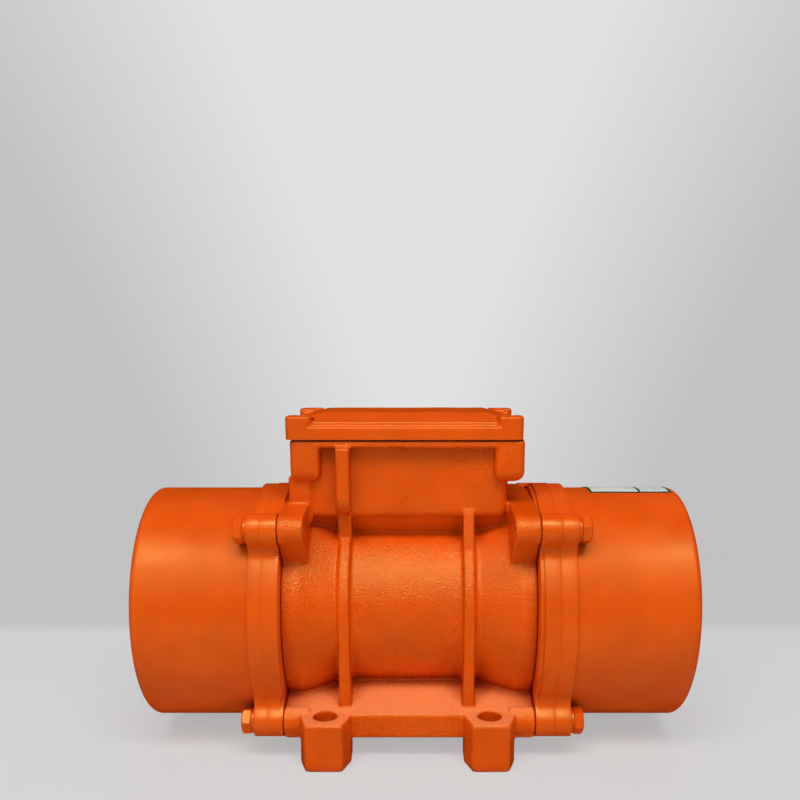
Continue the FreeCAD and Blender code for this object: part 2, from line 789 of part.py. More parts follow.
def bearing_flange(side):
    """Flange with a register for the casing, a ribbed bearing hub and a cover spigot."""
    hub_r = bearing_r + hub_wall
    hub_in = bearing_start - hub_lip
    register_in = side.casing_end - register_depth + 2
    plate = eared_disc(flange_r, side.flange_in, side.flange_out)
    land = eared_disc(joint_land_r, side.casing_end, side.flange_in)
    register = ring_x(register_r - press_gap, register_r - 6, register_in, side.flange_in + 1)
    hub = cylinder_x(hub_r, hub_in, max(hub_face, side.flange_in + 1))
    spigot = ring_x(cover_in_r - press_gap, cover_in_r - spigot_wall, side.flange_out - 1,
                    side.flange_out + spigot_length)
    rib = block(register_in + 1, side.flange_in + 1, hub_r - 2, register_r - 3,
                shaft_height - hub_rib_width / 2, shaft_height + hub_rib_width / 2)
    ribs = [turned(rib, angle) for angle in around(hub_rib_count)]
    body = fuse([plate, land, register, hub, spigot] + ribs)
    groove_x = side.flange_out + spigot_length / 2
    groove_r = cover_in_r - 2 * seal_r - 0.05
    cuts = [
        cylinder_x(bearing_r + press_gap, bearing_start, hub_face + 20),
        cylinder_x(bearing_r - 5, hub_in - 1, bearing_start + 1),
        cylinder_x(cap_r + 1, hub_face, hub_face + 20),
        ring_x(cover_in_r + 1, groove_r, groove_x - seal_r - 0.1, groove_x + seal_r + 0.1),
    ]
    cuts += cap_screw_holes(cap_screw_r + thread_gap, hub_face - 11, hub_face + 1)
    cuts += bolt_holes(side.casing_end, side.flange_out)
    return to_side(body.cut(cuts), side)


def cover_seal(side):
    groove_x = side.flange_out + spigot_length / 2
    ring = Part.makeTorus(cover_in_r - seal_r - 0.02, seal_r - 0.05, AXIS + X * groove_x, X)
    return to_side(ring, side)


def cap_screw_holes(r, x0, x1):
    hole = cylinder_x(r, x0, x1, 0, cap_screw_circle)
    return [turned(hole, angle) for angle in around(4, 45)]


def bearing_cap(side):
    """Outer bearing cap: its short lip holds the bearing's outer ring."""
    plate = ring_x(cap_r, outer_race_r - 4, hub_face, hub_face + cap_thickness)
    lip = ring_x(bearing_r - press_gap, outer_race_r + 0.5, bearing_end, hub_face + 1)
    return to_side(fuse([plate, lip]).cut(cap_screw_holes(cap_screw_r + 0.3, hub_face - 2, hub_face + 9)), side)


def bearing_cap_screws(side):
    seat = AXIS + X * (hub_face + cap_thickness) + Z * cap_screw_circle
    one = screw(cap_screw_r, cap_thickness + 10, cap_screw_head_r, cap_screw_head, seat, X)
    return [to_side(turned(one, angle), side) for angle in around(4, 45)]


def weight_cover(side):
    """Deep round cover with its own bolted flange and a rounded outer edge."""
    flange = eared_disc(flange_r, side.flange_out, side.cover_flange_out)
    cup = cylinder_x(cover_r, side.flange_out, side.cover_end)
    rim = [e for e in cup.Edges if e.BoundBox.XMin > side.cover_end - 1e-5]
    cup = cup.makeFillet(cover_edge_r, rim)
    inside = cylinder_x(cover_in_r, side.flange_out - 1, side.cover_end - cover_wall)
    rim = [e for e in inside.Edges if e.BoundBox.XMin > side.cover_end - cover_wall - 1e-5]
    inside = inside.makeFillet(cover_edge_r / 2, rim)
    body = fuse([flange, cup]).cut([inside] + bolt_holes(side.flange_out, side.cover_flange_out))
    return to_side(body, side)


def cover_bolts(side):
    under_head = side.cover_flange_out + washer_thickness
    bolts = []
    for y, z in bolt_places():
        shank = cylinder_x(bolt_r, side.casing_end - bolt_grip, under_head + 1, y, z)
        head = hexagon(bolt_head_flats, bolt_head_height, AXIS + Vector(under_head, y, z), X)
        crown = cylinder_x(bolt_head_flats / 2 + 0.5, under_head, under_head + bolt_head_height, y, z)
        rim = [e for e in crown.Edges if e.BoundBox.XMin > under_head + bolt_head_height - 1e-5]
        crown = crown.makeChamfer(0.8, rim)
        bolts.append(to_side(fuse([shank, head.common(crown)]), side))
    return bolts


def cover_washers(side):
    x0 = side.cover_flange_out
    x1 = x0 + washer_thickness
    return [to_side(cylinder_x(washer_r, x0, x1, y, z).cut(cylinder_x(bolt_r + 0.3, x0, x1, y, z)), side)
            for y, z in bolt_places()]


# ---------------------------------------------------------------- stator and rotor
def slot_tool(r0, r1, width_in, width_out, x0, x1):
    """Tapered slot or bar at the top of the core, between two radii."""
    return prism_x(x0, x1, (-width_in / 2, r0), (width_in / 2, r0), (width_out / 2, r1), (-width_out / 2, r1))


def slot_widths(clearance):
    """Inner and outer width of a winding slot, which leaves parallel-sided teeth."""
    r0 = stator_in_r + tooth_lip
    r1 = r0 + slot_depth
    share = 0.55 * 2 * math.pi / slot_count
    return r0 + clearance, r1 - clearance, r0 * share - 2 * clearance, r1 * share - 2 * clearance


def stator_core():
    half = core_length / 2
    core = ring_x(bore_r - press_gap, stator_in_r, -half, half)
    r0, r1, w0, w1 = slot_widths(0.0)
    slot = slot_tool(r0, r1, w0, w1, -half - 1, half + 1)
    mouth = block(-half - 1, half + 1, -slot_opening / 2, slot_opening / 2,
                  shaft_height + stator_in_r - 1, shaft_height + r0 + 0.5)
    slot = slot.fuse(mouth)
    return core.cut([turned(slot, angle) for angle in around(slot_count)])


def stator_windings():
    """Coils: a bar in every slot and a rounded bundle at each end."""
    half = core_length / 2
    r0, r1, w0, w1 = slot_widths(0.15)
    bar = slot_tool(r0, r1, w0, w1, -half - 2, half + 2)
    pieces = [turned(bar, angle) for angle in around(slot_count)]
    for sign in (-1, 1):
        near = sign * (half + 0.5)
        middle = sign * (half + winding_overhang / 2)
        far = sign * (half + winding_overhang)
        pieces.append(turn_x([(near, r0 - 0.4), (middle, r0 - 0.4), (far, r0 + 4), (far, r1 - 2),
                              (middle, r1 + 2.5), (near, r1 + 2.5)]))
    return fuse(pieces)


def cage_bar_tool(clearance, reach):
    r1 = rotor_r - bar_cover - clearance
    r0 = r1 - bar_depth + 2 * clearance
    half = core_length / 2 + reach
    return slot_tool(r0, r1, bar_width * 0.6 - 2 * clearance, bar_width - 2 * clearance, -half, half)


def rotor_core():
    half = core_length / 2
    core = ring_x(rotor_r, core_seat_r + press_gap, -half, half)
    bar = cage_bar_tool(0.0, 1.0)
    return core.cut([turned(bar, angle) for angle in around(rotor_bars)])


def rotor_cage():
    half = core_length / 2
    bar = cage_bar_tool(0.05, 1.0)
    pieces = [turned(bar, angle) for angle in around(rotor_bars)]
    for sign in (-1, 1):
        x0, x1 = sorted((sign * half, sign * (half + end_ring_width)))
        pieces.append(ring_x(rotor_r - 0.3, rotor_r - bar_cover - bar_depth - 1, x0, x1))
    return fuse(pieces)


def shaft():
    """Stepped shaft: core seat, bearing journals, weight seats and threaded ends."""
    half = [(0.0, core_seat_r), (bearing_start, core_seat_r), (bearing_start, journal_r),
            (weight_start - 1, journal_r), (weight_start - 1, weight_seat_r), (disc_end, weight_seat_r),
            (disc_end, thread_r), (shaft_half_length - shaft_chamfer, thread_r),
            (shaft_half_length, thread_r - shaft_chamfer), (shaft_half_length, 0.0)]
    profile = [(-x, r) for x, r in reversed(half)] + half[1:]
    body = turn_x(profile)
    return body.cut([to_side(key_shape(0.03), side) for side in sides])


def key_shape(clearance):
    middle = (weight_start + weight_end) / 2
    reach = key_length / 2 + clearance
    half = key_width / 2 + clearance
    z0 = shaft_height + weight_seat_r - key_height * 0.45
    return block(middle - reach, middle + reach, -half, half, z0 - clearance, z0 + key_height)


# ---------------------------------------------------------------- roller bearings
def bearing_outer_ring(side):
    """Outer ring with two shoulders that guide the rollers."""
    body = ring_x(bearing_r, outer_race_r - 2.2, bearing_start, bearing_end)
    middle = (bearing_start + bearing_end) / 2
    reach = roller_length / 2 + race_gap
    body = body.cut(cylinder_x(outer_race_r, middle - reach, middle + reach))
    rims = [e for e in body.Edges if abs(e.BoundBox.ZMax - shaft_height - bearing_r) < 1e-5]
    return to_side(body.makeChamfer(0.8, [e for e in rims if e.BoundBox.XLength < 1e-5]), side)


def bearing_inner_ring(side):
    return to_side(ring_x(inner_race_r, journal_r + press_gap, bearing_start, bearing_end), side)


def bearing_rollers(side):
    middle = (bearing_start + bearing_end) / 2
    one = cylinder_x(roller_r, middle - roller_length / 2, middle + roller_length / 2, 0, pitch_r)
    return [to_side(turned(one, angle), side) for angle in around(roller_count)]


def bearing_cage(side):
    """Cage: two rings beside the rollers, joined by a bar in each gap."""
    middle = (bearing_start + bearing_end) / 2
    near = roller_length / 2 + 0.1
    r0 = pitch_r - cage_half_height
    r1 = pitch_r + cage_half_height
    pieces = [ring_x(r1, r0, middle + near, middle + near + cage_ring),
              ring_x(r1, r0, middle - near - cage_ring, middle - near)]
    bar = block(middle - near - 1, middle + near + 1, -cage_bar / 2, cage_bar / 2,
                shaft_height + r0 + 0.3, shaft_height + r1 - 0.3)
    pieces += [turned(bar, angle) for angle in around(roller_count, 180.0 / roller_count)]
    return to_side(fuse(pieces), side)


def grease_ring(side):
    """Spacer between the inner ring and the weights, with a grease-keeping collar."""
    bore = journal_r + press_gap
    collar = outer_race_r - 4 - 0.5
    body = turn_x([(bearing_end, bore), (bearing_end, inner_race_r - 1), (hub_face, inner_race_r - 1),
                   (hub_face, collar), (hub_face + cap_thickness, collar),
                   (hub_face + cap_thickness, journal_r + 4), (weight_start, journal_r + 4), (weight_start, bore)])
    return to_side(body, side)


# ---------------------------------------------------------------- eccentric weights
def weight_outline(x0, x1):
    """Hanging sector with a round hub; the sector's outer corners are rounded."""
    low = math.radians(270)
    spread = math.radians(weight_half_angle)
    a = (weight_r * math.cos(low - spread), weight_r * math.sin(low - spread))
    b = (weight_r * math.cos(low + spread), weight_r * math.sin(low + spread))
    sector = prism_x(x0, x1, (-weight_hub_r * 0.9, 0.0), a, ((0.0, -weight_r), b), (weight_hub_r * 0.9, 0.0))
    sharp = edges_along(sector, X, lambda p: math.hypot(p.y, p.z - shaft_height) > weight_r - 0.1)
    return fuse([sector.makeFillet(weight_corner_r, sharp), cylinder_x(weight_hub_r, x0, x1)])


def fixed_weight(side):
    body = weight_outline(weight_start, weight_end)
    bore = cylinder_x(weight_seat_r + press_gap, weight_start - 1, weight_end + 1)
    slot = key_shape(0.03)
    keyway = block(weight_start - 1, weight_end + 1, slot.BoundBox.YMin, slot.BoundBox.YMax,
                   shaft_height, slot.BoundBox.ZMax + 0.2)
    return to_side(body.cut([bore, keyway]), side)


def weight_key(side):
    return to_side(key_shape(0.0), side)


def clamp_bolt_line():
    return (adjustable_start + adjustable_end) / 2, shaft_height + clamp_bolt_height


def adjustable_weight(side):
    """Weight with split lugs, which its clamp bolt closes onto the shaft."""
    x0 = adjustable_start
    x1 = adjustable_end
    body = weight_outline(x0, x1)
    lugs = block(x0, x1, -clamp_lug_half_width, clamp_lug_half_width, shaft_height,
                 shaft_height + clamp_lug_height)
    lugs = lugs.makeFillet(3.0, edges_along(lugs, X, lambda p: p.z > shaft_height + clamp_lug_height - 1))
    bolt_x, bolt_h = clamp_bolt_line()
    cuts = [
        cylinder_x(weight_seat_r + running_gap, x0 - 1, x1 + 1),
        block(x0 - 1, x1 + 1, -clamp_slot / 2, clamp_slot / 2, shaft_height,
              shaft_height + clamp_lug_height + 1),
        cylinder_y(clamp_bolt_r + 0.2, -30, 30, bolt_x, bolt_h),
        cylinder_y(clamp_spot_r, clamp_lug_half_width, weight_r, bolt_x, bolt_h),
        cylinder_y(clamp_spot_r, -weight_r, -clamp_lug_half_width, bolt_x, bolt_h),
    ]
    return to_side(fuse([body, lugs]).cut(cuts), side)


def clamp_bolt(side):
    """Cap screw across the lugs, with its nut."""
    bolt_x, bolt_h = clamp_bolt_line()
    seat = clamp_lug_half_width
    bolt = screw(clamp_bolt_r, 2 * seat + 6, clamp_bolt_r * 1.6, 5.0, Vector(bolt_x, -seat, bolt_h), -Y)
    nut = hexagon(10.0, 5.0, Vector(bolt_x, seat, bolt_h), Y)
    return to_side(fuse([bolt, nut]), side)


def setting_disc(side):
    """Disc with a notch for each step of the force setting."""
    body = ring_x(disc_r, weight_seat_r + press_gap, disc_start, disc_end)
    notch = block(disc_start - 1, disc_end + 1, -0.6, 0.6, shaft_height + disc_r - 2.5, shaft_height + disc_r + 1)
    step = 180.0 / (disc_notches - 1)
    return to_side(body.cut([turned(notch, k * step - 90) for k in range(disc_notches)]), side)


def shaft_nut(side):
    """Slotted round nut on the end of the shaft."""
    x1 = disc_end + shaft_nut_length
    body = ring_x(shaft_nut_r, thread_r + press_gap, disc_end, x1)
    slot = block(disc_end - 1, x1 + 1, -2.5, 2.5, shaft_height + shaft_nut_r - 2.5, shaft_height + shaft_nut_r + 2)
    return to_side(body.cut([turned(slot, angle) for angle in around(4)]), side)


# ---------------------------------------------------------------- export
def build():
    """All nodes by name; a list value is a group of like pieces in one node."""
    nodes = {
        "casing": casing(),
        "terminal_box_lid": lid(),
        "lid_gasket": lid_gasket(),
        "lid_screws": lid_screws(),
        "terminal_block": terminal_block(),
        "terminal_studs": terminal_studs(),
        "terminal_links": terminal_links(),
        "terminal_nuts": terminal_nuts(),
        "terminal_block_screws": terminal_block_screws(),
        "earth_screw": earth_screw(),
        "cable_gland_body": gland_body(),
        "cable_gland_seal": gland_seal(),
        "cable_gland_nut": gland_nut(),
        "stator_core": stator_core(),
        "stator_windings": stator_windings(),
        "rotor_core": rotor_core(),
        "rotor_cage": rotor_cage(),
        "shaft": shaft(),
    }
    makers = [bearing_flange, bearing_cap, bearing_cap_screws, cover_seal, weight_cover, cover_bolts,
              cover_washers, bearing_outer_ring, bearing_inner_ring, bearing_rollers, bearing_cage,
              grease_ring, fixed_weight, weight_key, adjustable_weight, clamp_bolt, setting_disc, shaft_nut]
    for side in sides:
        for maker in makers:
            nodes[side.name + "_" + maker.__name__] = maker(side)
    return nodes


def export(nodes):
    os.makedirs("parts", exist_ok=True)
    for name, shape in nodes.items():
        solids = []
        for piece in shape if isinstance(shape, list) else [shape]:
            solids += piece.Solids
        whole = solids[0] if len(solids) == 1 else Part.makeCompound(solids)
        whole.exportStep("parts/" + name + ".step")
        print(name, len(solids), "solid(s)", "valid" if whole.isValid() else "NOT VALID",
              round(whole.Volume / 1000, 2), "cm3")


export(build())
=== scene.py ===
# %% [markdown]
# # A foot-mounted vibration motor
# This motor shakes feeders, screens and hoppers. Four weights sit off centre on its shaft, and when the
# shaft spins they pull the whole casing round in a small circle. Its shapes and sizes come from a CAD
# model, and this lesson gives it the look of a sand casting under thick orange enamel.

import json
import math

import bmesh
import bpy
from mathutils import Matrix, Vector, noise


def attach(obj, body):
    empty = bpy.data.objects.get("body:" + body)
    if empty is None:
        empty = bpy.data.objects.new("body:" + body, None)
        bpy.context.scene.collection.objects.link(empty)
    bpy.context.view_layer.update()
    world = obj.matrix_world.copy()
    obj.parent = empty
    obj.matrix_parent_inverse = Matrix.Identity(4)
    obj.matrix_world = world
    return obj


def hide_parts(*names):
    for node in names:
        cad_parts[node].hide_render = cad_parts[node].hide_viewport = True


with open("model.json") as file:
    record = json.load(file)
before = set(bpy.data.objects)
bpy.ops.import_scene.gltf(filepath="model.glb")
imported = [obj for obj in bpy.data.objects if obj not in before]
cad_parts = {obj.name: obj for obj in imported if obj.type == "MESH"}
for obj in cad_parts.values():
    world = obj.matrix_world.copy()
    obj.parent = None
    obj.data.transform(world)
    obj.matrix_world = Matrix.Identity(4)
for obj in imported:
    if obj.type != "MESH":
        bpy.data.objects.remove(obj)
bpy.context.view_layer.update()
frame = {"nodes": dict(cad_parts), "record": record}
MM = 0.001

# %% [markdown]
# ## Helpers for node materials
# Every finish here is procedural: it is computed from a point's place on the object, so it needs no image
# files and has no seams. A few small helpers keep the node wiring readable. They start a material, add a
# node and fill its inputs, do a sum, and add a noise pattern in Object coordinates, a ramp or a bump.


# %% Material helpers
def start_material(name, roughness, metallic=0.0):
    """A new material with a Principled shader; returns the material and the shader."""
    material = bpy.data.materials.new(name)
    material.use_nodes = True
    shader = material.node_tree.nodes["Principled BSDF"]
    shader.inputs["Metallic"].default_value = metallic
    shader.inputs["Roughness"].default_value = roughness
    return material, shader


def feed(tree, socket, value):
    """Gives an input its value: a socket is linked, and anything else is set."""
    if isinstance(value, bpy.types.NodeSocket):
        tree.links.new(value, socket)
    else:
        socket.default_value = value


def add_node(tree, kind, **inputs):
    """Adds a node; each keyword names an input, and gives it a value or a socket to link."""
    node = tree.nodes.new(kind)
    for key, value in inputs.items():
        feed(tree, node.inputs[key.replace("_", " ")], value)
    return node


def maths(tree, operation, *values, kind="ShaderNodeMath"):
    """Result of a Math or Vector Math node; its inputs are filled in their order."""
    node = tree.nodes.new(kind)
    node.operation = operation
    for socket, value in zip(node.inputs, values):
        feed(tree, socket, value)
    return node.outputs[0]


def object_noise(tree, scale, detail=2.0, roughness=0.5):
    """Noise in Object coordinates; scale is in waves per metre."""
    place = tree.nodes.new("ShaderNodeTexCoord").outputs["Object"]
    pattern = add_node(tree, "ShaderNodeTexNoise", Vector=place, Scale=scale, Detail=detail,
                       Roughness=roughness)
    return pattern.outputs["Fac"]


def ramp(tree, factor, *stops):
    """Colour ramp; each stop is (position, colour)."""
    node = add_node(tree, "ShaderNodeValToRGB", Fac=factor)
    elements = node.color_ramp.elements
    while len(elements) < len(stops):
        elements.new(0.5)
    for element, (position, colour) in zip(elements, stops):
        element.position = position
        element.color = (*colour, 1.0)
    return node.outputs["Color"]


def bump(tree, height, distance, normal=None, strength=1.0):
    """Bump whose distance is the height of the pattern in metres."""
    node = add_node(tree, "ShaderNodeBump", Height=height, Distance=distance, Strength=strength)
    if normal is not None:
        tree.links.new(normal, node.inputs["Normal"])
    return node.outputs["Normal"]


print("material helpers ready")

# %% [markdown]
# ## Orange enamel
# The whole motor is sprayed after assembly, so casing, covers, washers and bolt heads share one thick
# orange enamel. What changes from piece to piece is what lies under it. Sand-cast iron has a grain of one
# to two millimetres that the paint rounds off, and the covers are smooth. So one function makes every
# enamel, and the grain, the slow waves of the paint film and the gloss are its sizes. A Bevel node rounds
# the sharp CAD edges for the light alone, as a paint film does. Level faces near the ground are painted
# paler, partly as settled spray mist and partly as a painted sheen of the light on them. Ridges of the
# castings get a painted highlight in a paler orange. In corners and under the rims an Ambient Occlusion
# node paints shade into the colour as a deep red.

# %% Colours and sizes of the enamel
ORANGE = (0.78, 0.079, 0.0002)
DEEP_ORANGE = tuple(c * 0.90 for c in ORANGE)
LIGHT_ORANGE = (ORANGE[0] * 1.05, ORANGE[1] * 1.15, ORANGE[2] * 1.5)
# painted shade: the deep red that corners and the faces under the rims are darkened to
PAINTED_SHADE_RED = (0.42, 0.027, 0.0003)
# paler orange: a painted sheen with settled mist on level faces, and painted highlights on ridges
PAINTED_SHEEN_ORANGE = (0.95, 0.26, 0.085)
GLOSS_LEVEL = 0.66
HIGHLIGHT_TINT = (1.0, 1.0, 0.30, 1.0)
# level faces near the ground get settled mist with a painted sheen, up to this height
DUST_AND_SHEEN_STRENGTH = 0.85
DUST_AND_SHEEN_TOP = 36 * MM
DUST_AND_SHEEN_FADE = 4 * MM
LEVEL_FACE = (0.70, 0.93)
PAINTED_SHADE_REACH = 12 * MM
PAINTED_SHADE_SAMPLES = 6
# waves per metre of each pattern
TINT_WAVES = 38.0
GLOSS_WAVES = 60.0
FILM_WAVES = 110.0
GRAIN_WAVES = 850.0
print("a grain is about", round(1 / GRAIN_WAVES / MM, 1), "mm wide")


# %% Enamel helpers
def grey(value):
    """A colour with three equal parts, for ramps that carry a number."""
    return (value, value, value)


def dust_and_sheen_factor(tree):
    """Factor that is the strength of the pale mix on level faces near the ground, and zero elsewhere:
    settled mist with a painted sheen.
    """
    place = tree.nodes.new("ShaderNodeTexCoord")
    tilt = add_node(tree, "ShaderNodeSeparateXYZ", Vector=place.outputs["Normal"])
    height = add_node(tree, "ShaderNodeSeparateXYZ", Vector=place.outputs["Object"])
    level = add_node(tree, "ShaderNodeMapRange", Value=tilt.outputs["Z"], From_Min=LEVEL_FACE[0],
                     From_Max=LEVEL_FACE[1])
    low = add_node(tree, "ShaderNodeMapRange", Value=height.outputs["Z"],
                   From_Min=DUST_AND_SHEEN_TOP + DUST_AND_SHEEN_FADE, From_Max=DUST_AND_SHEEN_TOP, To_Max=DUST_AND_SHEEN_STRENGTH)
    return maths(tree, "MULTIPLY", level.outputs["Result"], low.outputs["Result"])


def mixed(tree, factor, first, second):
    """Mix of two colours; each is a socket or three numbers."""
    node = tree.nodes.new("ShaderNodeMix")
    node.data_type = "RGBA"
    tree.links.new(factor, node.inputs["Factor"])
    colours = [socket for socket in node.inputs if socket.type == "RGBA"]
    for socket, value in zip(colours, (first, second)):
        feed(tree, socket, (*value, 1.0) if isinstance(value, tuple) else value)
    return [socket for socket in node.outputs if socket.type == "RGBA"][0]


def enamel(name, grain=0.0, wave=0.00006, roughness=0.33, edge=0.0006, dust_and_sheen=False, edge_highlights=False):
    """Painted surface: grain and wave are heights and edge is a radius, all in metres."""
    material, shader = start_material(name, roughness)
    tree = material.node_tree
    shader.inputs["Specular IOR Level"].default_value = GLOSS_LEVEL
    shader.inputs["Specular Tint"].default_value = HIGHLIGHT_TINT
    patches = object_noise(tree, TINT_WAVES, 3.0)
    tint = ramp(tree, patches, (0.32, DEEP_ORANGE), (0.55, ORANGE), (0.75, LIGHT_ORANGE))
    if edge_highlights:
        # Painted highlight: convex ridges, found by Pointiness, are mixed towards a paler orange.
        curve = tree.nodes.new("ShaderNodeNewGeometry")
        painted_edge_highlight = ramp(tree, curve.outputs["Pointiness"], (0.53, grey(0.0)), (0.60, grey(0.5)))
        tint = mixed(tree, painted_edge_highlight, tint, PAINTED_SHEEN_ORANGE)
    # Level faces near the ground: settled mist with a painted sheen of the light on them, in a paler
    # orange.
    if dust_and_sheen:
        tint = mixed(tree, dust_and_sheen_factor(tree), tint, PAINTED_SHEEN_ORANGE)
    # Painted shade: an Ambient Occlusion node darkens corners and the faces under the rims to a deep red.
    occlusion = add_node(tree, "ShaderNodeAmbientOcclusion", Distance=PAINTED_SHADE_REACH)
    occlusion.samples = PAINTED_SHADE_SAMPLES
    unshaded_share = ramp(tree, occlusion.outputs["AO"], (0.22, grey(0.0)), (0.72, grey(1.0)))
    tint = mixed(tree, unshaded_share, PAINTED_SHADE_RED, tint)
    tree.links.new(tint, shader.inputs["Base Color"])
    patches = object_noise(tree, GLOSS_WAVES, 4.0)
    dull = ramp(tree, patches, (0.35, grey(roughness * 0.86)), (0.7, grey(roughness * 1.25)))
    tree.links.new(dull, shader.inputs["Roughness"])
    rounded = add_node(tree, "ShaderNodeBevel", Radius=edge)
    normal = bump(tree, object_noise(tree, FILM_WAVES, 1.0), wave, rounded.outputs["Normal"])
    if grain:
        normal = bump(tree, object_noise(tree, GRAIN_WAVES, 3.0, 0.55), grain, normal)
    tree.links.new(normal, shader.inputs["Normal"])
    return material


print("enamel helpers ready")

# %% Enamels
enamels = {
    "casting": enamel("enamel on sand-cast iron", grain=0.00052, wave=0.00018, roughness=0.31,
                      dust_and_sheen=True, edge_highlights=True),
    "flange": enamel("enamel on machined flange", grain=0.00004, wave=0.00012),
    "filled joint": enamel("enamel over a filled joint", grain=0.00004, wave=0.00012, edge=0.00006),
    "cover": enamel("enamel on weight cover", grain=0.00002, wave=0.00005, roughness=0.36),
    "lid": enamel("enamel on lid", grain=0.00005, wave=0.00018, roughness=0.34, edge_highlights=True),
    "bolt": enamel("enamel on bolts", wave=0.00008, edge=0.0004),
}
print("enamels:", ", ".join(m.name for m in enamels.values()))

# %% [markdown]
# ## Metals, rubber and plastics
# Inside the covers and the terminal box the pieces are bare. Turned steel has fine rings, punched
# laminations are dull, copper windings are varnished, and moulded parts have a slight skin. Each is one
# metal or plastic with a little noise in its roughness and relief, so that none looks flat.


# %% Bare materials
def plain_finish(name, colour, roughness, metallic=0.0, wear=0.25, wear_scale=90.0, relief=0.00002):
    """One colour with uneven gloss and a faint relief."""
    material, shader = start_material(name, roughness, metallic)
    shader.inputs["Base Color"].default_value = (*colour, 1.0)
    tree = material.node_tree
    dull = ramp(tree, object_noise(tree, wear_scale, 4.0),
                (0.35, grey(roughness * (1 - wear))), (0.65, grey(roughness * (1 + wear))))
    tree.links.new(dull, shader.inputs["Roughness"])
    skin = bump(tree, object_noise(tree, wear_scale * 6, 2.0), relief)
    tree.links.new(skin, shader.inputs["Normal"])
    return material


bare = {
    "zinc_steel": plain_finish("zinc-plated steel", (0.62, 0.60, 0.55), 0.34, 1.0),
    "terminal_brass": plain_finish("terminal brass", (0.78, 0.57, 0.24), 0.30, 1.0),
    "terminal_plastic": plain_finish("moulded terminal block", (0.045, 0.030, 0.022), 0.55),
    "gland_plastic": plain_finish("black gland nylon", (0.018, 0.018, 0.019), 0.48),
    "lamination_steel": plain_finish("punched lamination steel", (0.32, 0.32, 0.33), 0.52, 1.0),
    "winding_copper": plain_finish("varnished copper winding", (0.56, 0.16, 0.045), 0.38, 0.6,
                                   wear_scale=300.0, relief=0.0002),
    "cage_aluminium": plain_finish("die-cast aluminium", (0.70, 0.71, 0.72), 0.45, 1.0),
    "shaft_steel": plain_finish("ground shaft steel", (0.55, 0.55, 0.56), 0.24, 1.0),
    "bearing_steel": plain_finish("bearing steel", (0.63, 0.63, 0.64), 0.16, 1.0),
    "bearing_brass": plain_finish("brass bearing cage", (0.74, 0.53, 0.22), 0.36, 1.0),
    "weight_steel": plain_finish("flame-cut weight steel", (0.24, 0.235, 0.23), 0.50, 1.0, relief=0.00008),
    "gasket_rubber": plain_finish("painted gasket edge", (0.10, 0.012, 0.003), 0.62, wear_scale=200.0,
                                  relief=0.0001),
}
print("bare materials:", len(bare))

# %% [markdown]
# ## Dress every CAD piece
# The record says which material slot each CAD piece takes. Going through it once gives every piece a
# finish, and the ones that later get a finer mesh are replaced one by one.

# %% Give each CAD piece its finish
SLOT_FINISH = {
    "casting_enamel": enamels["casting"],
    "cover_enamel": enamels["cover"],
    "lid_enamel": enamels["lid"],
    "bolt_enamel": enamels["bolt"],
    **bare,
}
slot_of = {row["node"]: row["material_slot"] for row in frame["record"]["subparts"]}
for name, piece in frame["nodes"].items():
    piece.data.materials.clear()
    piece.data.materials.append(SLOT_FINISH[slot_of[name]])
print("dressed", len(slot_of), "CAD pieces")

# %% [markdown]
# ## Meshes from the CAD pieces
# CAD pieces arrive as loose triangles with knife-sharp edges. A copy with its doubles merged is a closed
# surface that Blender can work on. Two finishes are needed: turned and sawn pieces keep their exact shape
# and get a narrow Bevel, and cast pieces are remeshed and relaxed, so that their corners flow together.


# %% Mesh helpers
MERGE_DISTANCE = 0.002 * MM
# waves per metre of the mould's surface
SLOW_WAVES = 70.0
QUICK_WAVES = 190.0


def new_object(name, data):
    """A new object with this mesh, lamp or camera, linked to the scene."""
    made = bpy.data.objects.new(name, data)
    bpy.context.collection.objects.link(made)
    return made


def merged_copy(node, name):
    """A copy of a CAD piece with its doubles merged."""
    mesh = frame["nodes"][node].data.copy()
    mesh.name = name
    work = bmesh.new()
    work.from_mesh(mesh)
    bmesh.ops.remove_doubles(work, verts=work.verts, dist=MERGE_DISTANCE)
    work.to_mesh(mesh)
    work.free()
    return new_object(name, mesh)


def face_outwards(mesh):
    """Turns every face of a closed mesh outwards."""
    work = bmesh.new()
    work.from_mesh(mesh)
    bmesh.ops.recalc_face_normals(work, faces=work.faces)
    work.to_mesh(mesh)
    work.free()


def apply_modifiers(piece):
    """Turns the evaluated result into the piece's own mesh."""
    ready = piece.evaluated_get(bpy.context.evaluated_depsgraph_get())
    mesh = bpy.data.meshes.new_from_object(ready)
    piece.modifiers.clear()
    piece.data = mesh
    return piece


def dress(piece, material, smooth_angle=None):
    """One material, smooth shading, and sharp edges above an angle in degrees."""
    piece.data.materials.clear()
    piece.data.materials.append(material)
    piece.data.shade_smooth()
    if smooth_angle is not None:
        piece.data.set_sharp_from_angle(angle=math.radians(smooth_angle))
    return piece


def triangles(piece):
    """Number of triangles in a piece's mesh."""
    return sum(len(face.vertices) - 2 for face in piece.data.polygons)


def cast_copy(node, name, voxel, rounds, waviness):
    """Remeshed and relaxed copy, with slow waves of a hand-rammed mould on top."""
    piece = merged_copy(node, name)
    remesh = piece.modifiers.new("voxels", "REMESH")
    remesh.mode = "VOXEL"
    remesh.voxel_size = voxel
    relax = piece.modifiers.new("relax", "SMOOTH")
    relax.factor = 0.5
    relax.iterations = rounds
    apply_modifiers(piece)
    places = [vertex.co.copy() for vertex in piece.data.vertices]
    normals = [entry.vector.copy() for entry in piece.data.vertex_normals]
    moved = []
    for place, normal in zip(places, normals):
        wave = noise.noise(place * SLOW_WAVES) + 0.5 * noise.noise(place * QUICK_WAVES)
        moved.extend(place + normal * (wave * waviness))
    piece.data.vertices.foreach_set("co", moved)
    piece.data.update()
    return piece


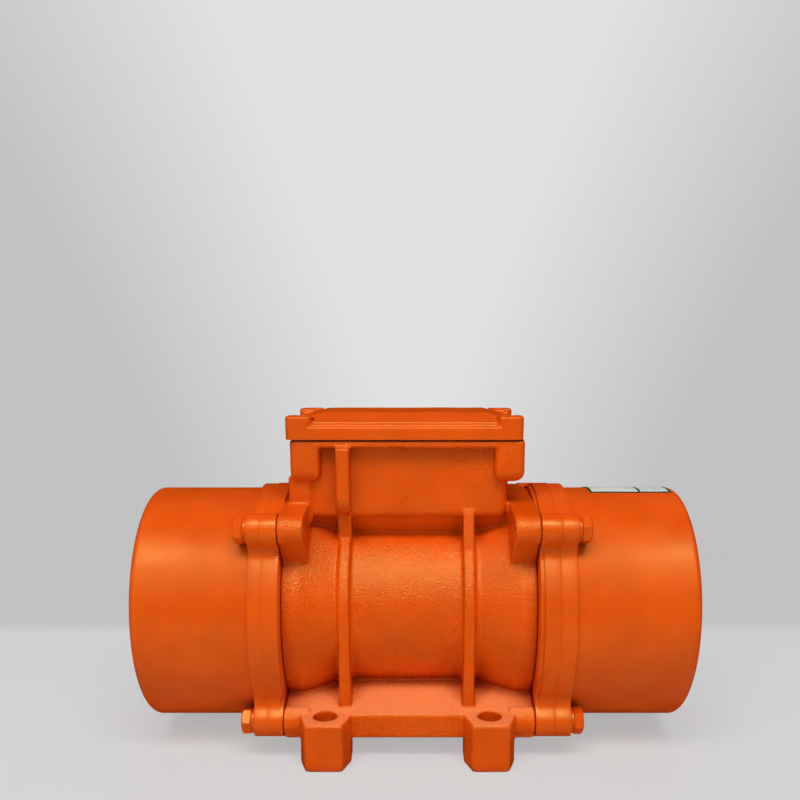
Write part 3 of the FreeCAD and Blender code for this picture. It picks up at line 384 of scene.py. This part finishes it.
def thin_out(piece, most):
    """Fewer triangles where the surface is flat."""
    thin = piece.modifiers.new("thin", "DECIMATE")
    thin.ratio = min(1.0, most / triangles(piece))
    apply_modifiers(piece)


print("mesh helpers ready")

# %% [markdown]
# ## The casing
# The casing is one iron casting: barrel, two ring ribs, four feet and the lower half of the terminal box.
# Its corners are round because sand will not hold a sharp edge. Voxel remeshing at just under one
# millimetre and three rounds of relaxing give that everywhere at once, where a bevel needs clean edges.

# %% Cast the casing
casing = cast_copy("casing", "sand_cast_casing", voxel=0.92 * MM, rounds=3, waviness=0.10 * MM)
thin_out(casing, most=190000)
dress(casing, enamels["casting"])
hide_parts("casing")
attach(casing, "motor_body")
print("casing:", triangles(casing), "triangles")

# %% [markdown]
# ## Flanges and covers
# These are turned on a lathe and then painted. They keep their exact CAD shape. Flat faces are dissolved
# into single polygons first, so that a narrow Bevel finds clean rims to break. Paint fills the left joint,
# so its edges are broken less and its land is level with the flange.


# %% Turned pieces
FLAT_ANGLE = 0.3


def turned_copy(node, name, material, edge, angle=40.0):
    """Exact copy with its flat faces cleaned up and its sharp edges broken."""
    piece = merged_copy(node, name)
    flat = piece.modifiers.new("flat faces", "DECIMATE")
    flat.decimate_type = "DISSOLVE"
    flat.angle_limit = math.radians(FLAT_ANGLE)
    bevel = piece.modifiers.new("broken edges", "BEVEL")
    bevel.width = edge
    bevel.segments = 2
    bevel.limit_method = "ANGLE"
    bevel.angle_limit = math.radians(angle)
    piece.modifiers.new("triangles", "TRIANGULATE")
    apply_modifiers(piece)
    dress(piece, material, angle)
    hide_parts(node)
    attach(piece, "motor_body")
    return piece


print("turned pieces can be made")

# %% Flanges and covers
LAND_R = 68.8 * MM
LAND_REACH = 0.3 * MM
RIM_R = 69.99 * MM
SHAFT_Z = 75.0 * MM


def fill_land(piece):
    """Moves the rim of a joint land outwards, level with the flange beside it."""
    for vertex in piece.data.vertices:
        y, z = vertex.co.y, vertex.co.z - SHAFT_Z
        radius = math.hypot(y, z)
        if abs(radius - LAND_R) < LAND_REACH:
            grow = RIM_R / radius
            vertex.co.y = y * grow
            vertex.co.z = SHAFT_Z + z * grow
    piece.data.update()


JOINTS = {"left": (0.05 * MM, "filled joint"), "right": (0.4 * MM, "flange")}
for side, (edge, paint) in JOINTS.items():
    flange = turned_copy(side + "_bearing_flange", side + "_flange", enamels[paint], edge)
    if side == "left":
        fill_land(flange)
    cover = turned_copy(side + "_weight_cover", side + "_cover", enamels["cover"], edge)
    print(side, "flange:", triangles(flange), "cover:", triangles(cover), "triangles")

# %% [markdown]
# ## The lid
# The lid is a small casting with a band, a step and a flat top with sloping sides. Its ledges are crisp,
# but the paint has pooled along them, so they wave a little. Voxels of about half a millimetre keep them.

# %% Cast the lid
lid = cast_copy("terminal_box_lid", "cast_lid", voxel=0.55 * MM, rounds=2, waviness=0.12 * MM)
thin_out(lid, most=150000)
dress(lid, enamels["lid"])
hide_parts("terminal_box_lid")
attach(lid, "motor_body")
print("lid:", triangles(lid), "triangles")

# %% [markdown]
# ## Bolts, washers and lid screws
# Eight bolts with washers hold the covers, and four screws hold the lid. They repeat, so each kind is
# modelled once and a Geometry Nodes tree sets it on its places. The places are read from the CAD pieces,
# one for each loose part of a piece. A bolt stops at no special angle, so the tree turns each by chance,
# with a fixed seed. Instances are cheap to change, and realising them at the end gives one plain mesh.
# A model is a stack of rings about its axis, because every one of these shapes is round or hexagonal.


# %% Sizes of the fasteners
BOLT_FLATS = 13.0 * MM
BOLT_CROWN = 0.47
BOLT_CHAMFER = 30.0
BOLT_HEAD = 5.3 * MM
BOLT_R = 4.0 * MM
WASHER_R = 6.8 * MM
WASHER_HOLE_R = 4.1 * MM
SCREW_HEAD_R = 4.25 * MM
SCREW_HEAD = 5.0 * MM
SCREW_SOCKET_FLATS = 4.25 * MM
SCREW_SOCKET_FLOOR = 2.25 * MM
SCREW_R = 2.5 * MM
SEGMENTS = 72
print("bolt heads are", round(BOLT_FLATS / MM, 1), "mm across flats")


# %% Meshes from rings
def ring(radius, height):
    """One ring of points about the X axis; radius and height are numbers or functions of the angle."""
    points = []
    for k in range(SEGMENTS):
        angle = 2 * math.pi * k / SEGMENTS
        r = radius(angle) if callable(radius) else radius
        h = height(angle) if callable(height) else height
        points.append((h, r * math.cos(angle), r * math.sin(angle)))
    return points


def ring_solid(name, rings, hollow=False):
    """Closed mesh through a row of rings; a hollow one joins its last ring to its first."""
    points = [p for loop in rings for p in loop]
    faces = []
    pairs = [(k, k + 1) for k in range(len(rings) - 1)]
    if hollow:
        pairs.append((len(rings) - 1, 0))
    for a, b in pairs:
        for k in range(SEGMENTS):
            n = (k + 1) % SEGMENTS
            faces.append((a * SEGMENTS + k, a * SEGMENTS + n, b * SEGMENTS + n, b * SEGMENTS + k))
    if not hollow:
        faces.append(tuple(reversed(range(SEGMENTS))))
        start = (len(rings) - 1) * SEGMENTS
        faces.append(tuple(range(start, start + SEGMENTS)))
    mesh = bpy.data.meshes.new(name)
    mesh.from_pydata(points, [], faces)
    face_outwards(mesh)
    return new_object(name, mesh)


print("ring helpers ready")


# %% Bolt, washer and screw
def hex_radius(flats):
    """Radius of a hexagon as a function of the angle."""
    sixth = math.pi / 3
    return lambda angle: flats / 2 / math.cos((angle + sixth / 2) % sixth - sixth / 2)


def hex_bolt(shank):
    """Hexagon bolt: the underside of the head is at zero and the head rises along +X."""
    outline = hex_radius(BOLT_FLATS)
    crown = BOLT_FLATS * BOLT_CROWN
    slope = math.tan(math.radians(BOLT_CHAMFER))
    soft = 0.35 * MM

    def shoulder(angle):
        return BOLT_HEAD - (outline(angle) - crown) * slope

    return ring_solid("hex_bolt", [
        ring(BOLT_R - soft, -shank), ring(BOLT_R, -shank + soft), ring(BOLT_R, 0.0),
        ring(lambda a: outline(a) - soft, 0.0), ring(outline, soft),
        ring(outline, lambda a: shoulder(a) - soft), ring(lambda a: outline(a) - soft * 0.8, shoulder),
        ring(crown, BOLT_HEAD - soft * 0.3), ring(crown - soft, BOLT_HEAD),
    ])


def washer(thickness):
    """Flat washer with rounded rims, centred on zero."""
    half = thickness / 2
    soft = 0.3 * MM
    return ring_solid("washer", [
        ring(WASHER_HOLE_R, -half), ring(WASHER_R - soft, -half), ring(WASHER_R, -half + soft),
        ring(WASHER_R, half - soft), ring(WASHER_R - soft, half), ring(WASHER_HOLE_R, half),
    ], hollow=True)


def socket_screw(shank):
    """Socket-head screw: the underside of the head is at zero and the head rises along +X."""
    soft = 0.4 * MM
    socket = hex_radius(SCREW_SOCKET_FLATS)
    return ring_solid("socket_screw", [
        ring(SCREW_R - soft, -shank), ring(SCREW_R, -shank + soft), ring(SCREW_R, 0.0),
        ring(SCREW_HEAD_R, 0.0), ring(SCREW_HEAD_R, SCREW_HEAD - soft),
        ring(SCREW_HEAD_R - soft, SCREW_HEAD),
        ring(lambda a: socket(a) + soft / 2, SCREW_HEAD), ring(socket, SCREW_HEAD - soft / 2),
        ring(socket, SCREW_SOCKET_FLOOR),
    ])


print("fastener shapes ready")

# %% [markdown]
# ## The fastener tree
# The tree takes points, a model, two turns, a seed and a finish as its inputs. The first turn lays the
# model's X axis along the real one, and the second is a chance turn about it. The tree ends in Realize
# Instances and Set Material, so what comes out is a plain mesh.


# %% Fastener tree
def fastener_tree():
    """Sets a fastener on every point, turns it by chance about its axis, and makes one mesh of them."""
    tree = bpy.data.node_groups.new("fasteners on points", "GeometryNodeTree")
    sockets = {"Places": "Geometry", "Fastener": "Object", "Axis Turn": "Rotation",
               "Chance Turn": "Float", "Seed": "Int", "Finish": "Material"}
    for title, kind in sockets.items():
        tree.interface.new_socket(title, in_out="INPUT", socket_type="NodeSocket" + kind)
    tree.interface.new_socket("Fasteners", in_out="OUTPUT", socket_type="NodeSocketGeometry")
    given = tree.nodes.new("NodeGroupInput")
    result = tree.nodes.new("NodeGroupOutput")
    model = tree.nodes.new("GeometryNodeObjectInfo")
    chance = tree.nodes.new("FunctionNodeRandomValue")
    chance.data_type = "FLOAT"
    about = tree.nodes.new("ShaderNodeCombineXYZ")
    own = tree.nodes.new("FunctionNodeEulerToRotation")
    turn = tree.nodes.new("FunctionNodeRotateRotation")
    turn.rotation_space = "LOCAL"
    place = tree.nodes.new("GeometryNodeInstanceOnPoints")
    realise = tree.nodes.new("GeometryNodeRealizeInstances")
    paint = tree.nodes.new("GeometryNodeSetMaterial")
    link = tree.links.new
    limits = {socket.name: socket for socket in chance.inputs if socket.enabled}
    limits["Min"].default_value = 0.0
    link(given.outputs["Chance Turn"], limits["Max"])
    link(given.outputs["Seed"], chance.inputs["Seed"])
    link([socket for socket in chance.outputs if socket.enabled][0], about.inputs["X"])
    link(about.outputs["Vector"], own.inputs["Euler"])
    link(given.outputs["Axis Turn"], turn.inputs["Rotation"])
    link(own.outputs["Rotation"], turn.inputs["Rotate By"])
    link(given.outputs["Fastener"], model.inputs["Object"])
    link(given.outputs["Places"], place.inputs["Points"])
    link(model.outputs["Geometry"], place.inputs["Instance"])
    link(turn.outputs["Rotation"], place.inputs["Rotation"])
    link(place.outputs["Instances"], realise.inputs["Geometry"])
    link(realise.outputs["Geometry"], paint.inputs["Geometry"])
    link(given.outputs["Finish"], paint.inputs["Material"])
    link(paint.outputs["Geometry"], result.inputs["Fasteners"])
    return tree


FASTENERS = fastener_tree()
print("fastener tree:", len(FASTENERS.nodes), "nodes")

# %% [markdown]
# ## Set them on their places
# Each CAD bolt is a loose part of its piece, and its bounding box says where it sits and how long it is.
# A modifier keeps its inputs by identifier, so the script looks up each name in the tree's interface.


# %% Place helpers
def loose_parts(node):
    """Low and high corner of each loose part of a CAD piece, in a fixed order."""
    piece = merged_copy(node, "parts of " + node)
    work = bmesh.new()
    work.from_mesh(piece.data)
    left = set(work.verts)
    boxes = []
    while left:
        found = [left.pop()]
        part = []
        while found:
            vertex = found.pop()
            part.append(vertex.co.copy())
            for edge in vertex.link_edges:
                other = edge.other_vert(vertex)
                if other in left:
                    left.remove(other)
                    found.append(other)
        low = Vector([min(p[k] for p in part) for k in range(3)])
        high = Vector([max(p[k] for p in part) for k in range(3)])
        boxes.append((low, high))
    work.free()
    bpy.data.objects.remove(piece)
    return sorted(boxes, key=lambda box: tuple(round(c, 5) for c in box[0]))


FACET_ANGLE = 35.0


def set_fasteners(node, name, model, places, axis_turn, chance_turn, seed):
    """One mesh of fasteners in place of a CAD piece."""
    mesh = bpy.data.meshes.new(name)
    mesh.from_pydata(places, [], [])
    piece = new_object(name, mesh)
    pattern = piece.modifiers.new("fasteners", "NODES")
    pattern.node_group = FASTENERS
    values = {"Fastener": model, "Axis Turn": axis_turn, "Chance Turn": chance_turn, "Seed": seed,
              "Finish": enamels["bolt"]}
    for item in FASTENERS.interface.items_tree:
        if item.in_out == "INPUT" and item.name in values:
            pattern[item.identifier] = values[item.name]
    apply_modifiers(piece)
    bpy.data.objects.remove(model)
    dress(piece, enamels["bolt"], FACET_ANGLE)
    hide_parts(node)
    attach(piece, "motor_body")
    print(name + ":", len(places), "places,", triangles(piece), "triangles")


print("place helpers ready")

# %% Set the fasteners
for side, sign, seed in (("left", -1, 3), ("right", 1, 8)):
    outwards = (0.0, 0.0, 0.0) if sign > 0 else (0.0, 0.0, math.pi)
    boxes = loose_parts(side + "_cover_bolts")
    length = boxes[0][1].x - boxes[0][0].x
    heads = [(low + high) / 2 for low, high in boxes]
    for head in heads:
        head.x += sign * (length / 2 - BOLT_HEAD)
    set_fasteners(side + "_cover_bolts", side + "_bolts", hex_bolt(length - BOLT_HEAD), heads, outwards,
                  math.pi, seed)
    boxes = loose_parts(side + "_cover_washers")
    thickness = boxes[0][1].x - boxes[0][0].x
    set_fasteners(side + "_cover_washers", side + "_washers", washer(thickness),
                  [(low + high) / 2 for low, high in boxes], outwards, 0.0, seed)

boxes = loose_parts("lid_screws")
length = boxes[0][1].z - boxes[0][0].z
heads = [(low + high) / 2 + Vector((0, 0, length / 2 - SCREW_HEAD)) for low, high in boxes]
set_fasteners("lid_screws", "lid_socket_screws", socket_screw(length - SCREW_HEAD), heads,
              (0.0, -math.pi / 2, 0.0), math.pi, 5)

# %% [markdown]
# ## Blank label
# A printed foil is stuck round the top of the right cover. Here it is left blank: a white sheet with a
# dark green frame and one cross bar. It is a thin curved grid, and its frame is a row of cells of its own,
# so that the border is exact without any image.

# %% Label points
# places along the shaft in millimetres, and angles about the shaft in degrees, 90 being the top
LABEL_X = (105.0, 106.4, 133.2, 134.6, 150.6, 152.0)
LABEL_FRONT = 98.7
LABEL_BACK = 40.0
LABEL_BORDER = 1.2
LABEL_R = (67.50 * MM, 67.95 * MM)

label_white = plain_finish("blank label foil", (0.72, 0.74, 0.71), 0.34)
label_green = plain_finish("green label frame", (0.010, 0.085, 0.040), 0.34)
rows = [LABEL_FRONT, LABEL_FRONT - LABEL_BORDER]
rows += [rows[1] - k for k in range(1, int(rows[1] - LABEL_BACK - LABEL_BORDER) + 1)]
rows += [LABEL_BACK + LABEL_BORDER * 0.5, LABEL_BACK]
points = []
for radius in LABEL_R:
    for degrees in rows:
        turn = math.radians(degrees)
        points += [(x * MM, radius * math.cos(turn), SHAFT_Z + radius * math.sin(turn)) for x in LABEL_X]
print("label:", len(rows), "rows of points,", round((LABEL_R[1] - LABEL_R[0]) / MM, 2), "mm thick")

# %% Label
across = len(LABEL_X)
layer = across * len(rows)
faces = []
kinds = []
for row in range(len(rows) - 1):
    for column in range(across - 1):
        a = row * across + column
        quad = (a, a + 1, a + across + 1, a + across)
        framed = row in (0, len(rows) - 2) or column % 2 == 0
        for shift, order in ((layer, quad), (0, quad[::-1])):
            faces.append(tuple(k + shift for k in order))
            kinds.append(int(framed))
rim = list(range(across))
rim += [row * across + across - 1 for row in range(1, len(rows))]
rim += [layer - 2 - k for k in range(across - 1)]
rim += [row * across for row in range(len(rows) - 2, 0, -1)]
for a, b in zip(rim, rim[1:] + rim[:1]):
    faces.append((a, b, b + layer, a + layer))
    kinds.append(1)
label_mesh = bpy.data.meshes.new("blank_label")
label_mesh.from_pydata(points, [], faces)
label_mesh.materials.append(label_white)
label_mesh.materials.append(label_green)
label_mesh.polygons.foreach_set("material_index", kinds)
face_outwards(label_mesh)
label = new_object("blank_label", label_mesh)
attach(label, "motor_body")
print("label:", triangles(label), "triangles")

# %% [markdown]
# ## Floor and backdrop
# The motor stands on a plain pale table in front of a grey paper sweep. The table is an ordinary matt
# surface for the light, but the camera sees most of it as evenly lit paper, so that the shadows stay pale.
# Behind the table's edge and in the world the camera sees the sweep, which is lighter in the middle. The
# tone there depends on the direction from the place of the camera, so table and world meet without a seam.
# Neither of them shows in reflections, so that only the lamps draw highlights on the enamel.

# %% Tone of the sweep
SWEEP_MIDDLE = (0.76, 0.76, 0.76)
SWEEP_SIDE = (0.535, 0.535, 0.54)
SWEEP_RISE = -0.4


def sweep_tone(tree, direction):
    """Colour of the sweep for a direction: light high in the middle, darker to both sides and below."""
    unit = maths(tree, "NORMALIZE", direction, kind="ShaderNodeVectorMath")
    parts = add_node(tree, "ShaderNodeSeparateXYZ", Vector=unit)
    aside = maths(tree, "ABSOLUTE", parts.outputs["X"])
    lowered = maths(tree, "MULTIPLY_ADD", parts.outputs["Z"], SWEEP_RISE, aside)
    return ramp(tree, lowered, (0.05, SWEEP_MIDDLE), (0.33, SWEEP_SIDE))


def blended(tree, factor, first, second):
    """Mix of two shaders."""
    node = add_node(tree, "ShaderNodeMixShader", Fac=factor)
    tree.links.new(first, node.inputs[1])
    tree.links.new(second, node.inputs[2])
    return node.outputs["Shader"]


print("sweep tone ready")

# %% Floor
CAMERA_PLACE = (0.0042, -0.5022, 0.222)
TABLE_SIZE = 60.0
TABLE_EDGE = (0.153, 0.195)
TABLE_GLOW = 0.7
TABLE_COLOUR = (0.85, 0.85, 0.85, 1.0)
TABLE_PAPER = (0.60, 0.60, 0.603)

bpy.ops.mesh.primitive_plane_add(size=TABLE_SIZE)
floor = bpy.context.object
floor.name = "floor"
floor_finish, floor_shader = start_material("pale table", 0.6)
floor_shader.inputs["Base Color"].default_value = TABLE_COLOUR
floor_shader.inputs["Specular IOR Level"].default_value = 0.0
tree = floor_finish.node_tree
place = tree.nodes.new("ShaderNodeTexCoord").outputs["Object"]
away = maths(tree, "SUBTRACT", place, CAMERA_PLACE, kind="ShaderNodeVectorMath")
axes = add_node(tree, "ShaderNodeSeparateXYZ", Vector=place)
behind = add_node(tree, "ShaderNodeMapRange", Value=axes.outputs["Y"], From_Min=TABLE_EDGE[0],
                  From_Max=TABLE_EDGE[1])
behind.interpolation_type = "SMOOTHSTEP"
share = add_node(tree, "ShaderNodeMapRange", Value=behind.outputs["Result"], To_Min=TABLE_GLOW)
tone = mixed(tree, behind.outputs["Result"], TABLE_PAPER, sweep_tone(tree, away))
paper = add_node(tree, "ShaderNodeEmission", Color=tone, Strength=1.0)
seen = tree.nodes.new("ShaderNodeLightPath").outputs["Is Camera Ray"]
where = maths(tree, "MULTIPLY", share.outputs["Result"], seen)
surface = blended(tree, where, floor_shader.outputs["BSDF"], paper.outputs["Emission"])
tree.links.new(surface, tree.nodes["Material Output"].inputs["Surface"])
floor.data.materials.append(floor_finish)
floor.visible_glossy = False
print("floor:", TABLE_SIZE, "m wide")

# %% World
WORLD_COLOUR = (0.60, 0.60, 0.60, 1.0)
WORLD_STRENGTH = 0.20

world = bpy.data.worlds.new("studio grey")
bpy.context.scene.world = world
world.use_nodes = True
world.cycles_visibility.glossy = False
tree = world.node_tree
dim = tree.nodes["Background"]
dim.inputs["Color"].default_value = WORLD_COLOUR
dim.inputs["Strength"].default_value = WORLD_STRENGTH
direction = tree.nodes.new("ShaderNodeTexCoord").outputs["Generated"]
paper = add_node(tree, "ShaderNodeBackground", Color=sweep_tone(tree, direction), Strength=1.0)
seen = tree.nodes.new("ShaderNodeLightPath").outputs["Is Camera Ray"]
surface = blended(tree, seen, dim.outputs["Background"], paper.outputs["Background"])
tree.links.new(surface, tree.nodes["World Output"].inputs["Surface"])
print("world ready")

# %% [markdown]
# ## Light
# A bright diffuser stands high in front and draws the long highlight along the covers. A second one below
# it stretches the highlight down, and a weak fill from the left keeps that end from going flat. A lamp
# behind lights the tops and the back, and casts no highlights of its own.


# %% Lamps
LAMP_TARGET = Vector((0.0, 0.0, 0.08))


def soft_lamp(name, place, size, power):
    """Area lamp turned towards the motor; place and size in metres, power in watts."""
    data = bpy.data.lights.new(name, "AREA")
    data.shape = "RECTANGLE"
    data.size, data.size_y = size
    data.energy = power
    lamp = new_object(name, data)
    lamp.location = place
    lamp.rotation_euler = (LAMP_TARGET - Vector(place)).to_track_quat("-Z", "Y").to_euler()
    return lamp


soft_lamp("high diffuser", (0.0, -0.72, 1.32), (1.4, 0.42), 17.0)
soft_lamp("middle diffuser", (0.0, -1.10, 0.85), (2.0, 0.6), 3.5)
back = soft_lamp("back diffuser", (0.0, 0.95, 1.15), (1.6, 0.6), 4.0)
back.visible_glossy = False
soft_lamp("left fill", (-1.1, -0.55, 0.75), (0.8, 0.8), 1.2)
print("lamps ready")

# %% [markdown]
# ## Camera
# The camera stands about half a metre in front and looks down by thirteen degrees. A vertical shift keeps
# the motor in the lower half of the picture without tilting the view further.

# %% Camera
LENS_MM = 38.83
LENS_SHIFT = (-0.019, 0.185)
LOOK_DOWN = math.radians(12.915)

camera_data = bpy.data.cameras.new("camera")
camera_data.sensor_width = 36.0
camera_data.lens = LENS_MM
camera_data.shift_x, camera_data.shift_y = LENS_SHIFT
camera = new_object("camera", camera_data)
camera.location = CAMERA_PLACE
camera.rotation_euler = (math.pi / 2 - LOOK_DOWN, 0, 0)
bpy.context.scene.camera = camera
bpy.context.scene.view_settings.view_transform = "Standard"
print("camera at", [round(v, 3) for v in camera.location])
